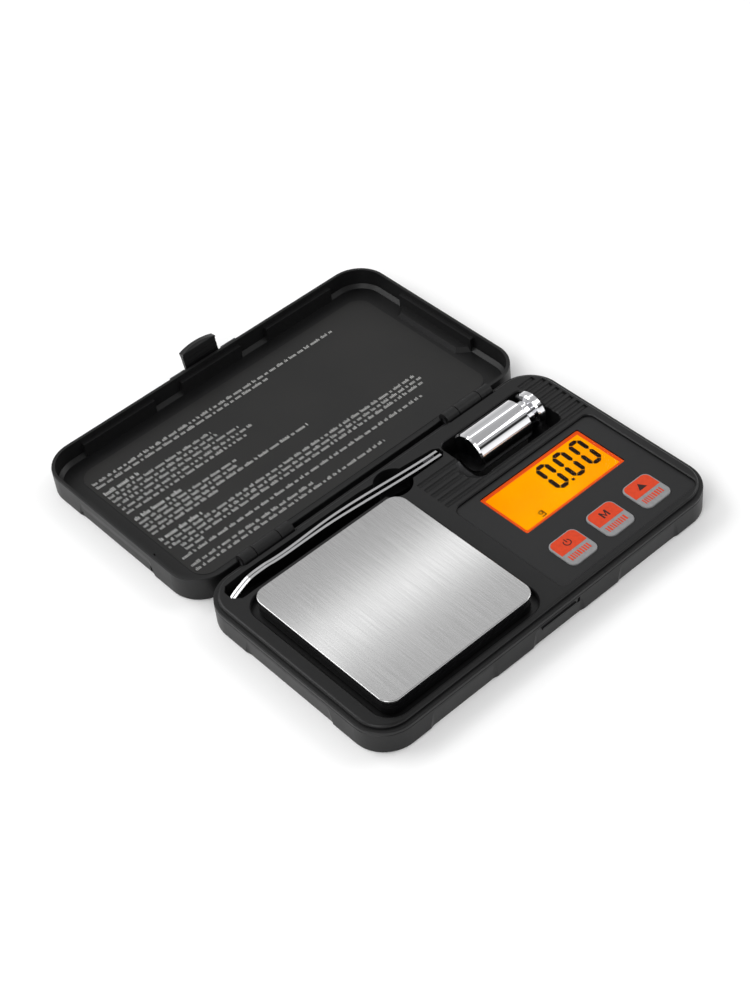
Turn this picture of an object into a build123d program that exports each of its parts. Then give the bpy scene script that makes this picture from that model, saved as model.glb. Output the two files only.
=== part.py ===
from build123d import *
import os
from math import atan, degrees

# Digital pocket gram scale, lying open on a table. Millimetres, +Z up.
# Origin: middle of the base's footprint on the plane of its rubber feet.
# +X runs along the hinge to the display end, and +Y from the base to the open lid.

# ---------------------------------------------------------------- driving sizes
CASE_LENGTH = 127.0
CASE_WIDTH = 73.8
CORNER_R = 10.5
FOOT_T = 0.6                           # rubber feet, let in flush with the base's underside
WALL = 1.6
FLOOR_T = 1.6
SEAM_Z = 7.0                           # base shell meets deck housing
RIM_Z = 8.2                            # ledge on which the lid's rim closes
DECK_Z = 9.4
DECK_INSET = 1.3
DECK_T = 1.4
HINGE_GAP = 1.7                        # between base and lid when open
HINGE_Y = CASE_WIDTH / 2 + HINGE_GAP / 2
HINGE_Z = RIM_Z
FLOOR_TOP = FLOOR_T

# Mid-side reliefs leave the corner pads and front bosses standing proud.
RELIEF_DEPTH = 0.6
RELIEF_H = 6.0
SIDE_RELIEF_HALF = 19.0
FRONT_RELIEFS = [(-48.2, -21.3), (-11.1, 11.1), (21.3, 48.2)]

# Weighing platform
PLATE_X = (-55.85, -2.8)
PLATE_Y = (-31.9, 22.65)
PLATE_R = 4.1
PLATE_TOP = 13.0
PLATE_T = 0.8
WELL_GAP = 2.05
WELL_TOP = 7.2                         # upper face of the well's floor
WELL_T = 1.0
TRAY_T = 1.2
TRAY_LIP_Z = 10.0
TRAY_BOTTOM = 8.0

# Load cell under the platform
CELL_X = (-52.3, -6.3)
CELL_Y = (PLATE_Y[0] + PLATE_Y[1]) / 2
CELL_W = 9.0
CELL_Z = (2.4, 6.0)
CELL_SCREW_R = 1.0
BASE_SCREW_X = (-49.5, -43.0)
POST_SCREW_X = (-15.5, -9.5)
POST_X = (-18.0, -7.0)
POST_W = 8.6

# Display panel and buttons
PANEL_X = (5.4, 59.3)
PANEL_Y = (-33.4, 9.0)
PANEL_Z = (8.1, 8.6)
WINDOW_X = (13.4, 52.5)
WINDOW_Y = (-12.0, 6.7)
BUTTON_X = (18.2, 32.8, 47.4)
BUTTON_Y = -24.6
BUTTON_W = 10.4
BUTTON_L = 10.8
BUTTON_R = 2.2
BUTTON_TOP = 9.0
BUTTON_GAP = 0.15
BUTTON_FLANGE_Z = (6.5, 7.0)
BOARD_X = (8.0, 54.5)
BOARD_Y = (-33.0, 8.5)
BOARD_Z = (5.0, 5.8)
LCD_Z = (6.7, 8.0)

# Coin cells and their sliding cover
COIN_R = 10.0
COIN_T = 3.2
COIN_X = (21.5, 43.5)
COIN_Y = -12.5
COVER_X = (9.0, CASE_LENGTH / 2)
COVER_Y = (-24.0, -1.0)
COVER_DOVETAIL = 0.7
COVER_GAP = 0.1

# Weight pocket and weight
POCKET_X = (20.2, 53.2)
POCKET_Y = (12.4, 30.5)
WEIGHT_R = 6.3
WEIGHT_Y = 22.7
WEIGHT_Z = 8.2
WEIGHT_X = (24.6, 45.0, 48.4, 51.0)    # body start, shoulder, head start, head end
GROOVE_PITCH = 2.8
GROOVE_FIRST_Y = 11.2
GROOVE_R = 0.85
GROOVE_DEPTH = 0.6
EDGE_SLOPE = 0.3                       # sloped rim of the well, the pocket and the panel recess

# Tweezers in their slot
STRIP_T = 0.8
STRIP_Z = (2.0, 10.0)
TIP_Z = (3.6, 6.6)

# Hinge
KNUCKLE_R = 2.2
KNUCKLE_GAP = 0.25
KNUCKLES = [(29.5, 34.0), (34.0, 43.0), (43.0, 47.5)]
PIN_R = 0.75
PIN_CLEAR = 0.05
HINGE_BLOCK_Y = 34.6                   # inner face of the base's thicker wall at the hinge

# Lid
LID_Y = (HINGE_Y + HINGE_GAP / 2, HINGE_Y + HINGE_GAP / 2 + CASE_WIDTH)
LID_WALL = 1.1
LID_FLOOR_TOP = 1.6
LABEL_T = 0.1
CATCH_Z = (5.1, 5.8)                   # bar on the base's front wall that the latch snaps under
LID_LEDGE_Z = 6.5
LID_LEDGE_T = 1.4
LID_BLOCK_Z = 3.0
LID_BLOCK_D = 5.2
LID_BLOCK_SLOPE = 35                   # degrees that the blocks' sides lean in from upright

# Latch on the lid's far wall
LATCH_X = (-6.9, 5.7)
LATCH_Y = LID_Y[1] + 1.25
LATCH_Z = 5.5
LATCH_LEN = 7.5
LATCH_LEAN = 12.0                      # degrees it leans outwards when undone
LATCH_R = 1.15
BOSS_X = (7.3, 12.6)


# ---------------------------------------------------------------- small helpers
def slab(xs, ys, zs, radius=0.0):
    """Box between limits, with rounded vertical edges."""
    width = xs[1] - xs[0]
    depth = ys[1] - ys[0]
    if radius:
        outline = RectangleRounded(width, depth, radius)
    else:
        outline = Rectangle(width, depth)
    place = Pos((xs[0] + xs[1]) / 2, (ys[0] + ys[1]) / 2, zs[0])
    return extrude(place * outline, zs[1] - zs[0])


def grow(limits, by):
    """Limits moved outwards by an amount (inwards when negative)."""
    return (limits[0] - by, limits[1] + by)


def disc(x, y, zs, radius):
    """Upright cylinder between two heights."""
    return Pos(x, y, zs[0]) * extrude(Circle(radius), zs[1] - zs[0])


def rod_x(xs, y, z, radius):
    """Cylinder along X between two places."""
    return Pos(xs[0], y, z) * Rot(0, 90, 0) * extrude(Circle(radius), xs[1] - xs[0])


def prism_x(points_yz, xs):
    """Outline of (y, z) points pushed along X."""
    outline = make_face(Polyline(*[(xs[0], y, z) for y, z in points_yz], close=True))
    return extrude(outline, xs[1] - xs[0], dir=(1, 0, 0))


def case_outline(y_middle, zs, inset=0.0):
    """The case's rounded footprint as a solid, moved inwards by inset."""
    xs = grow((-CASE_LENGTH / 2, CASE_LENGTH / 2), -inset)
    ys = grow((y_middle - CASE_WIDTH / 2, y_middle + CASE_WIDTH / 2), -inset)
    return slab(xs, ys, zs, CORNER_R - inset)


def edges_at(solid, z):
    """Edges that lie wholly at one height."""
    return [e for e in solid.edges() if abs(e.bounding_box().min.Z - z) < 1e-4
            and abs(e.bounding_box().max.Z - z) < 1e-4]


def relief(xs, ys):
    """Drafted cutter that thins a wall towards the table and fades out upwards."""
    width = xs[1] - xs[0]
    depth = ys[1] - ys[0]
    place = Pos((xs[0] + xs[1]) / 2, (ys[0] + ys[1]) / 2, 0)
    draft = degrees(atan(RELIEF_DEPTH / RELIEF_H))
    return extrude(place * RectangleRounded(width, depth, 3.0), RELIEF_H, taper=draft)


def side_reliefs(y_middle, pad_edge_sign):
    """Cutters between the pads; pad_edge_sign is the long side with the two bosses."""
    reach = 8.0
    cutters = []
    x_in = CASE_LENGTH / 2 - RELIEF_DEPTH
    y_in = CASE_WIDTH / 2 - RELIEF_DEPTH
    span = (y_middle - SIDE_RELIEF_HALF, y_middle + SIDE_RELIEF_HALF)
    cutters.append(relief((-x_in - reach, -x_in), span))
    cutters.append(relief((x_in, x_in + reach), span))
    near = sorted((y_middle + pad_edge_sign * y_in, y_middle + pad_edge_sign * (y_in + reach)))
    for xs in FRONT_RELIEFS:
        cutters.append(relief(xs, near))
    return cutters


def write(name, solid):
    """Write one piece, or a group of identical pieces, as parts/NAME.step."""
    export_step(solid, f"parts/{name}.step")


# ---------------------------------------------------------------- hinge shapes
def hinge_room(sign, clear):
    """Space kept free round both barrel groups, on the base (-1) or lid (+1) side."""
    room = []
    for side in (-1, 1):
        xs = sorted((side * KNUCKLES[0][0], side * KNUCKLES[-1][1]))
        xs = grow(xs, KNUCKLE_GAP)
        room.append(rod_x(xs, HINGE_Y, HINGE_Z, KNUCKLE_R + clear))
        ys = sorted((HINGE_Y, HINGE_Y + sign * (KNUCKLE_R + clear + 0.4)))
        room.append(slab(xs, ys, (HINGE_Z - 0.05, HINGE_Z + 4)))
    return room


def knuckle(xs, sign):
    """One barrel with the web that ties it to the base (-1) or the lid (+1)."""
    barrel = rod_x(xs, HINGE_Y, HINGE_Z, KNUCKLE_R)
    root = HINGE_Y + sign * (KNUCKLE_R + 0.5)
    ys = sorted((HINGE_Y, root))
    web = slab(xs, ys, (HINGE_Z - KNUCKLE_R, SEAM_Z - 0.02))
    bore = rod_x(grow(xs, 1), HINGE_Y, HINGE_Z, PIN_R + PIN_CLEAR)
    return barrel + web - bore


# ---------------------------------------------------------------- base
def screw_places():
    return [(-55.5, -30.5), (-55.5, 20.5), (58.2, -29.6), (57.6, 30.2)]


def foot_places():
    return [(x, y) for x in (-46.0, 46.0) for y in (-31.0, 31.0)]


def cover_channel(gap):
    """Dovetail channel for the sliding battery cover, or the cover when gap > 0."""
    low, high = grow(COVER_Y, -gap)
    top = FLOOR_TOP + 0.01 if gap == 0 else FLOOR_TOP - gap
    bottom = -0.5 if gap == 0 else 0
    flare = COVER_DOVETAIL
    points = [(low, bottom), (high, bottom), (high + flare, top), (low - flare, top)]
    xs = (COVER_X[0] + gap, COVER_X[1] + (5 if gap == 0 else -0.15))
    return prism_x(points, xs)


def base_shell():
    outer = case_outline(0, (0, SEAM_Z))
    outer = fillet(edges_at(outer, 0), 0.7)
    outer = chamfer(edges_at(outer, SEAM_Z), 0.15)
    for cutter in side_reliefs(0, -1):
        outer -= cutter
    shell = outer - case_outline(0, (FLOOR_TOP, SEAM_Z + 1), WALL)

    # Thicker back wall behind the hinge barrels.
    for side in (-1, 1):
        xs = grow(sorted((side * KNUCKLES[0][0], side * KNUCKLES[-1][1])), 1.0)
        shell += slab(xs, (HINGE_BLOCK_Y, CASE_WIDTH / 2 - WALL + 0.1), (FLOOR_TOP - 0.1, SEAM_Z))
    for room in hinge_room(-1, 0.25):
        shell -= room
    for side in (-1, 1):
        for first, last in (KNUCKLES[0], KNUCKLES[2]):
            shell += knuckle(sorted((side * first, side * last)), -1)

    # Latch catch: a low bar on the front wall, with a small relief hole at one end.
    front = -CASE_WIDTH / 2
    shell += slab((-6.4, 6.4), (front - 0.4, front + 0.8), CATCH_Z)
    shell -= slab((7.0, 8.0), (front - 1, front + 0.7), (4.6, 6.4), 0.45)

    # Load-cell seat, battery bay, screw pads and board posts.
    shell += slab((CELL_X[0], CELL_X[0] + 12), grow((CELL_Y, CELL_Y), CELL_W / 2),
                  (FLOOR_TOP - 0.1, CELL_Z[0]))
    bay_x = (COIN_X[0] - COIN_R - 0.4, COIN_X[1] + COIN_R + 0.4)
    bay_y = grow((COIN_Y, COIN_Y), COIN_R + 0.4)
    shell += slab(grow(bay_x, 1.0), grow(bay_y, 2.9), (FLOOR_TOP - 0.1, FLOOR_TOP + 3.0), 2.0)
    shell -= slab(bay_x, bay_y, (0, FLOOR_TOP + 4), 1.0)
    shell -= cover_channel(0)
    for x in (BOARD_X[0] + 1.6, BOARD_X[1] - 1.6):
        for y in (BOARD_Y[0] + 1.6, BOARD_Y[1] - 1.6):
            shell += disc(x, y, (FLOOR_TOP - 0.1, BOARD_Z[0]), 1.5)
    for x, y in screw_places():
        shell += disc(x, y, (FLOOR_TOP - 0.1, FLOOR_TOP + 0.6), 2.4)
        shell -= disc(x, y, (-1, 1.0), 1.8)
        shell -= disc(x, y, (0, FLOOR_TOP + 1), 1.0)
    for x in BASE_SCREW_X:
        shell -= disc(x, CELL_Y, (-1, 0.8), 2.0)
        shell -= disc(x, CELL_Y, (0, CELL_Z[0] + 1), CELL_SCREW_R + 0.1)
    for x, y in foot_places():
        shell -= disc(x, y, (-1, FOOT_T), 3.5)
    return shell


def battery_cover():
    cover = cover_channel(COVER_GAP)
    # Finger ridges across the pushing end.
    for step in range(4):
        x = COVER_X[1] - 6 - 1.6 * step
        cover -= slab((x, x + 0.7), grow(COVER_Y, -7), (-1, 0.3))
    return cover


def coin_cells():
    cells = []
    for x in COIN_X:
        can = disc(x, COIN_Y, (FLOOR_TOP + 0.05, FLOOR_TOP + 2.75), COIN_R)
        can = fillet(edges_at(can, FLOOR_TOP + 0.05), 0.4)
        cap = disc(x, COIN_Y, (FLOOR_TOP + 2.75, FLOOR_TOP + 0.05 + COIN_T), COIN_R - 1.2)
        cells.append(can + cap)
    return Compound(cells)


def battery_contacts():
    """Bent leaf over each coin cell, soldered under the board."""
    top = FLOOR_TOP + 0.05 + COIN_T
    return Compound([slab(grow((x, x), 4.0), grow((COIN_Y, COIN_Y), 2.5), (top, BOARD_Z[0]), 0.8)
                     for x in COIN_X])


def rubber_feet():
    feet = []
    for x, y in foot_places():
        foot = disc(x, y, (0, FOOT_T), 3.5)
        feet.append(fillet(edges_at(foot, 0), 0.25))
    return Compound(feet)


def case_screws():
    screws = []
    for x, y in screw_places():
        head = disc(x, y, (0.1, 1.0), 1.6)
        shank = disc(x, y, (1.0, 5.4), 0.8)
        slot = slab(grow((x, x), 1.1), grow((y, y), 0.2), (0, 0.45))
        cross = slab(grow((x, x), 0.2), grow((y, y), 1.1), (0, 0.45))
        screws.append(head + shank - slot - cross)
    return Compound(screws)


# ---------------------------------------------------------------- deck housing
def slot_outline():
    """Plan of the tweezers slot."""
    left, right = -58.3, 19.6
    line = Polyline((left, 31.4), (left, 28.4), (left + 2.2, 26.2), (-3, 26.2), (right - 1.5, 26.2),
                    (right, 27.6), (right, 29.6), (right - 1.5, 30.7), (-8, 33.2), (-50, 33.5),
                    (left + 1.6, 33.1), close=True)
    return make_face(line)


def slot_solid(zs, grow_by=0.0):
    plan = slot_outline()
    if grow_by:
        plan = offset(plan, grow_by, kind=Kind.ARC)
    return extrude(Pos(0, 0, zs[0]) * plan, zs[1] - zs[0])


FINGER = (1.3, 28.9, 5.8)              # x, y and radius of the finger recess
FINGER_BOTTOM = 4.6
TUB_T = 0.9
TUB_BOTTOM = FLOOR_TOP + 0.1


def edge_slope(xs, ys, radius):
    """Cutter that slopes the upper edge of a rounded recess in the deck."""
    middle = ((xs[0] + xs[1]) / 2, (ys[0] + ys[1]) / 2)
    outline = RectangleRounded(xs[1] - xs[0], ys[1] - ys[0], radius)
    return extrude(Pos(*middle, DECK_Z - EDGE_SLOPE) * outline, EDGE_SLOPE + 0.1, taper=-45)


def deck_housing():
    deck = case_outline(0, (SEAM_Z, RIM_Z))
    deck = chamfer(edges_at(deck, SEAM_Z), 0.15)
    deck = fillet(edges_at(deck, RIM_Z), 0.3)
    raised = case_outline(0, (SEAM_Z, DECK_Z), DECK_INSET)
    deck += fillet(edges_at(raised, DECK_Z), 0.8)
    deck -= case_outline(0, (SEAM_Z - 1, DECK_Z - DECK_T), WALL + 1.0)
    lip = case_outline(0, (SEAM_Z - 0.9, SEAM_Z + 0.2), WALL + 0.05)
    deck += lip - case_outline(0, (SEAM_Z - 2, SEAM_Z + 1), WALL + 1.0)

    well_x = grow(PLATE_X, WELL_GAP)
    well_y = grow(PLATE_Y, WELL_GAP)
    well_r = PLATE_R + WELL_GAP
    tubs = slab(grow(well_x, 1), grow(well_y, 1), (WELL_TOP - WELL_T, DECK_Z - 0.5), well_r + 1)
    tubs += slab(grow(PANEL_X, 1), grow(PANEL_Y, 0.5), (PANEL_Z[0] - 1.0, DECK_Z - 0.5), 3)
    tubs += slab(grow(POCKET_X, TUB_T), grow(POCKET_Y, TUB_T), (TUB_BOTTOM, DECK_Z - 0.5), 3.4)
    tubs += slot_solid((TUB_BOTTOM, DECK_Z - 0.5), TUB_T)
    tubs += disc(FINGER[0], FINGER[1], (FINGER_BOTTOM - TUB_T, DECK_Z - 0.5), FINGER[2] + TUB_T)
    scoop = Pos(22.3, 17.2, DECK_Z + 6.0) * Sphere(8.2)
    tubs += disc(20.6, 17.2, (6.2, DECK_Z - 0.5), 5.6)
    for x, y in screw_places():
        top = WELL_TOP if x < 0 else DECK_Z - 0.5
        tubs += disc(x, y, (FLOOR_TOP + 0.6, top), 2.2)
    deck += tubs & case_outline(0, (0, DECK_Z), WALL + 0.05)
    for side in (-1, 1):
        xs = grow(sorted((side * KNUCKLES[0][0], side * KNUCKLES[-1][1])), 1.1)
        deck -= slab(xs, (HINGE_BLOCK_Y - 0.05, CASE_WIDTH / 2), (0, SEAM_Z))

    deck -= slab(well_x, well_y, (WELL_TOP, DECK_Z + 1), well_r)
    deck -= slab(grow(POST_X, 1.2), grow((CELL_Y, CELL_Y), POST_W / 2 + 1.2), (0, DECK_Z), 1.5)
    deck -= slab(POCKET_X, POCKET_Y, (0, DECK_Z + 1), 2.5)
    deck -= scoop
    deck -= slot_solid((0, DECK_Z + 1))
    deck -= disc(FINGER[0], FINGER[1], (FINGER_BOTTOM, DECK_Z + 1), FINGER[2])

    # Grooves that run from the panel side of the deck to the display end.
    for row in range(8):
        y = GROOVE_FIRST_Y + row * GROOVE_PITCH
        start = 5.0 if row < 5 else POCKET_X[1]
        end = 61.0 if row < 7 else 59.3
        deck -= rod_x((start, end), y, DECK_Z - GROOVE_DEPTH + GROOVE_R, GROOVE_R)

    # Panel recess, display opening and button holes.
    deck -= slab(PANEL_X, PANEL_Y, (PANEL_Z[0], DECK_Z + 1), 2.6)
    deck -= slab(grow(WINDOW_X, 1.0), grow(WINDOW_Y, 1.0), (0, DECK_Z))
    for x in BUTTON_X:
        xs = grow((x, x), BUTTON_W / 2 + BUTTON_GAP)
        ys = grow((BUTTON_Y, BUTTON_Y), BUTTON_L / 2 + BUTTON_GAP)
        deck -= slab(xs, ys, (0, DECK_Z), BUTTON_R + BUTTON_GAP)
    for xs, ys, radius in ((well_x, well_y, well_r), (POCKET_X, POCKET_Y, 2.5), (PANEL_X, PANEL_Y, 2.6)):
        deck -= edge_slope(xs, ys, radius)
    for x, y in screw_places():
        deck -= disc(x, y, (0, 5.4), 0.8)
    for room in hinge_room(-1, 0.3):
        deck -= room
    return deck


# ---------------------------------------------------------------- display and buttons
def display_panel():
    panel = slab(grow(PANEL_X, -0.05), grow(PANEL_Y, -0.05), PANEL_Z, 2.55)
    panel -= slab(WINDOW_X, WINDOW_Y, grow(PANEL_Z, 1), 0.6)
    for x in BUTTON_X:
        xs = grow((x, x), BUTTON_W / 2 + BUTTON_GAP)
        ys = grow((BUTTON_Y, BUTTON_Y), BUTTON_L / 2 + BUTTON_GAP)
        panel -= slab(xs, ys, grow(PANEL_Z, 1), BUTTON_R + BUTTON_GAP)
    return panel


def button(x):
    """Key cap with a retaining flange and a pip that meets its dome."""
    xs = grow((x, x), BUTTON_W / 2)
    ys = grow((BUTTON_Y, BUTTON_Y), BUTTON_L / 2)
    cap = slab(xs, ys, (BUTTON_FLANGE_Z[0], BUTTON_TOP), BUTTON_R)
    cap = fillet(edges_at(cap, BUTTON_TOP), 0.35)
    flange = slab(grow(xs, 0.8), grow(ys, 0.8), BUTTON_FLANGE_Z, BUTTON_R + 0.8)
    return cap + flange


def dome_switches():
    return Compound([disc(x, BUTTON_Y, (BOARD_Z[1], BOARD_Z[1] + 0.3), 2.5) for x in BUTTON_X])


def lcd_glass():
    """Two glass sheets, the lower one longer by the contact ledge."""
    middle = (LCD_Z[0] + LCD_Z[1]) / 2
    upper = slab(grow(WINDOW_X, 0.8), (WINDOW_Y[0] - 0.8, WINDOW_Y[1]), (middle, LCD_Z[1]))
    lower = slab(grow(WINDOW_X, 0.8), grow(WINDOW_Y, 0.8), (LCD_Z[0], middle))
    return upper + lower


def circuit_board():
    board = slab(BOARD_X, BOARD_Y, BOARD_Z, 1.0)
    for x in (BOARD_X[0] + 1.6, BOARD_X[1] - 1.6):
        for y in (BOARD_Y[0] + 1.6, BOARD_Y[1] - 1.6):
            board -= disc(x, y, grow(BOARD_Z, 1), 0.6)
    return board


# ---------------------------------------------------------------- platform and load cell
def platform_plate():
    plate = slab(PLATE_X, PLATE_Y, (PLATE_TOP - PLATE_T, PLATE_TOP), PLATE_R)
    return fillet(edges_at(plate, PLATE_TOP), 0.25)


def platform_tray():
    top = PLATE_TOP - PLATE_T
    tray = slab(grow(PLATE_X, -0.7), grow(PLATE_Y, -0.7), (TRAY_BOTTOM, top), PLATE_R - 0.7)
    tray += slab(grow(PLATE_X, -0.1), grow(PLATE_Y, -0.1), (TRAY_BOTTOM, TRAY_LIP_Z), PLATE_R - 0.1)
    tray -= slab(grow(PLATE_X, -1.9), grow(PLATE_Y, -1.9), (0, top - TRAY_T), PLATE_R - 1.9)
    tray += slab(POST_X, grow((CELL_Y, CELL_Y), POST_W / 2), (CELL_Z[1], top - 0.2), 1.0)
    # Ribs under the top, between the post and the skirt.
    ribs_z = (top - TRAY_T - 1.4, top - TRAY_T + 0.1)
    inner_x = grow(PLATE_X, -1.8)
    inner_y = grow(PLATE_Y, -1.8)
    tray += slab(inner_x, grow((CELL_Y, CELL_Y), 0.5), ribs_z)
    for x in (-42.0, -29.3, (POST_X[0] + POST_X[1]) / 2):
        tray += slab(grow((x, x), 0.5), inner_y, ribs_z)
    for x in POST_SCREW_X:
        tray -= disc(x, CELL_Y, (top - 1.1, top + 1), 2.0)
        tray -= disc(x, CELL_Y, (0, top), CELL_SCREW_R)
    return tray


def load_cell():
    """Aluminium bending beam with a two-hole flexure."""
    bar = slab(CELL_X, grow((CELL_Y, CELL_Y), CELL_W / 2), CELL_Z)
    z = (CELL_Z[0] + CELL_Z[1]) / 2
    middle = (CELL_X[0] + CELL_X[1]) / 2
    for x in (middle - 5, middle + 5):
        bar -= Pos(x, CELL_Y, z) * Rot(90, 0, 0) * Cylinder(1.35, CELL_W + 2)
    bar -= slab((middle - 5, middle + 5), grow((CELL_Y, CELL_Y), CELL_W), (z - 0.5, z + 0.5))
    for x in BASE_SCREW_X:
        bar -= disc(x, CELL_Y, (CELL_Z[0] - 1, CELL_Z[0] + 2.4), CELL_SCREW_R)
    for x in POST_SCREW_X:
        bar -= disc(x, CELL_Y, (CELL_Z[1] - 2.4, CELL_Z[1] + 1), CELL_SCREW_R + 0.05)
    return bar


def strain_gauges():
    """Foil gauges bonded over the flexure's thin places."""
    middle = (CELL_X[0] + CELL_X[1]) / 2
    return Compound([slab(grow((x, x), 2.0), grow((CELL_Y, CELL_Y), 1.6),
                          (CELL_Z[1], CELL_Z[1] + 0.1)) for x in (middle - 5, middle + 5)])


def cell_screws(places, tip_z, head_zs, head_r):
    screws = []
    for x in places:
        ends = sorted((tip_z, head_zs[0] if tip_z < head_zs[0] else head_zs[1]))
        shank = disc(x, CELL_Y, ends, CELL_SCREW_R)
        screws.append(shank + disc(x, CELL_Y, head_zs, head_r))
    return Compound(screws)


# ---------------------------------------------------------------- leads inside the base
def lead(points, radius, bend=1.2):
    """Insulated wire: straight runs joined by tangent arcs."""
    path = FilletPolyline(*points, radius=bend)
    start = Plane(origin=path @ 0, z_dir=path % 0)
    return sweep(start * Circle(radius), path=path)


def cell_leads():
    """Four fine wires from the flexure, under the well, to the board's left edge."""
    leads = []
    for count in range(4):
        y = CELL_Y + 6.2 + 0.7 * count
        x = -33.0 + 0.9 * count
        z = 3.2
        leads.append(lead([(x, CELL_Y + CELL_W / 2, z), (x, y, z), (4.0 + 0.6 * (3 - count), y, z),
                           (4.0 + 0.6 * (3 - count), y - 9, z), (BOARD_X[0] + 0.2, y - 9, z)],
                          0.25, 0.8))
    return Compound(leads)


# ---------------------------------------------------------------- weight and tweezers
def calibration_weight():
    start, shoulder, head, end = WEIGHT_X
    r = WEIGHT_R
    half = [(start, 0), (start, r - 0.5), (start + 0.5, r), (shoulder - 0.8, r), (shoulder, r - 0.8),
            (shoulder + 0.5, 4.0), (head - 0.5, 3.9), (head, 5.3), (head + 0.5, 5.75),
            (end - 0.5, 5.75), (end, 5.2), (end, 0)]
    outline = make_face(Polyline(*[(x, 0, radius) for x, radius in half], close=True))
    return Pos(0, WEIGHT_Y, WEIGHT_Z) * revolve(outline, Axis.X)


def weight_pad():
    """Foam cradle on the pocket's floor."""
    pad = slab((25.0, 44.0), grow((WEIGHT_Y, WEIGHT_Y), 5.2), (FLOOR_TOP, 4.2), 1.0)
    return pad - rod_x((20, 50), WEIGHT_Y, WEIGHT_Z, WEIGHT_R + 0.1)


BACK_ARM = [(18.0, 28.75), (0.0, 30.0), (-12.0, 30.95), (-22.0, 31.25), (-36.0, 30.75), (-42.0, 30.9),
            (-49.0, 31.6), (-54.0, 31.2), (-57.8, 30.4)]
FRONT_ARM = [(18.0, 26.95), (0.0, 27.95), (-12.0, 28.95), (-22.0, 29.6), (-36.0, 29.65), (-42.0, 29.85),
             (-49.0, 30.55), (-54.0, 30.15), (-57.8, 29.35)]
HEEL_X = (13.5, 17.5)
HEEL_HEIGHT = 4.6
HEEL_GAP = 0.06                        # the front arm flexes just clear of the spacer


def tweezers_arm(centre_line):
    """Spring-steel strip on edge, following its centre line and tapering to the tip."""
    half = STRIP_T / 2
    back = Spline(*[(x, y + half) for x, y in centre_line])
    front = Spline(*[(x, y - half) for x, y in centre_line])
    plan = make_face([back, Line(back @ 1, front @ 1), front, Line(front @ 0, back @ 0)])
    strip = extrude(Pos(0, 0, STRIP_Z[0]) * plan, STRIP_Z[1] - STRIP_Z[0])
    tip_x = centre_line[-1][0] - 1
    side = Polyline((19, 0, STRIP_Z[0] + 1.0), (14, 0, STRIP_Z[0]), (-20, 0, STRIP_Z[0]),
                    (tip_x, 0, TIP_Z[0]), (tip_x, 0, TIP_Z[1]), (-50, 0, STRIP_Z[1] - 0.9),
                    (-44, 0, STRIP_Z[1]), (19, 0, STRIP_Z[1]), close=True)
    return strip & extrude(Pos(0, 20, 0) * make_face(side), 20, dir=(0, 1, 0))


def tweezers_heel():
    """Spacer welded between the arms at the blunt end."""
    first, last = HEEL_X
    plan = make_face(Polyline((first, 28.8), (last, 28.5), (last, 27.0), (first, 27.25), close=True))
    block = extrude(Pos(0, 0, STRIP_Z[0] + 1.2) * plan, HEEL_HEIGHT)
    front_room = tweezers_arm([(x, y + HEEL_GAP) for x, y in FRONT_ARM])
    return block - tweezers_arm(BACK_ARM) - front_room


# ---------------------------------------------------------------- lid
def lid_blocks():
    """Stepped blocks inside the lid's walls, with slanted ends."""
    low, high = LID_Y
    wall = LID_WALL
    foot_z = LID_FLOOR_TOP - 0.1
    blocks = []
    spans = [(-49.5, -21.0), (-12.6, 12.6), (21.0, 49.5)]
    for first, last in spans:
        for edge, inward in ((high - wall, -1), (low + wall, 1)):
            deep = edge + inward * LID_BLOCK_D
            plan = make_face(Polyline((first, edge - inward * 0.9), (last, edge - inward * 0.9),
                                      (last - 4, deep), (first + 4, deep), close=True))
            blocks.append(extrude(Pos(0, 0, foot_z) * plan, LID_BLOCK_Z - foot_z, taper=LID_BLOCK_SLOPE))
            ys = sorted((edge - inward * 0.3, edge + inward * LID_LEDGE_T))
            blocks.append(slab((first + 1, last - 1), ys, (LID_FLOOR_TOP - 0.1, LID_LEDGE_Z)))
    y_middle = (low + high) / 2
    for side in (-1, 1):
        edge = side * (CASE_LENGTH / 2 - wall)
        deep = edge - side * LID_BLOCK_D
        outer = edge + side * 0.9
        plan = make_face(Polyline((outer, y_middle - 18), (outer, y_middle + 18),
                                  (deep, y_middle + 13), (deep, y_middle - 13), close=True))
        blocks.append(extrude(Pos(0, 0, foot_z) * plan, LID_BLOCK_Z - foot_z, taper=LID_BLOCK_SLOPE))
        xs = sorted((outer, edge - side * LID_LEDGE_T))
        blocks.append(slab(xs, (y_middle - 16, y_middle + 16), (LID_FLOOR_TOP - 0.1, LID_LEDGE_Z)))
    return blocks


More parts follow.
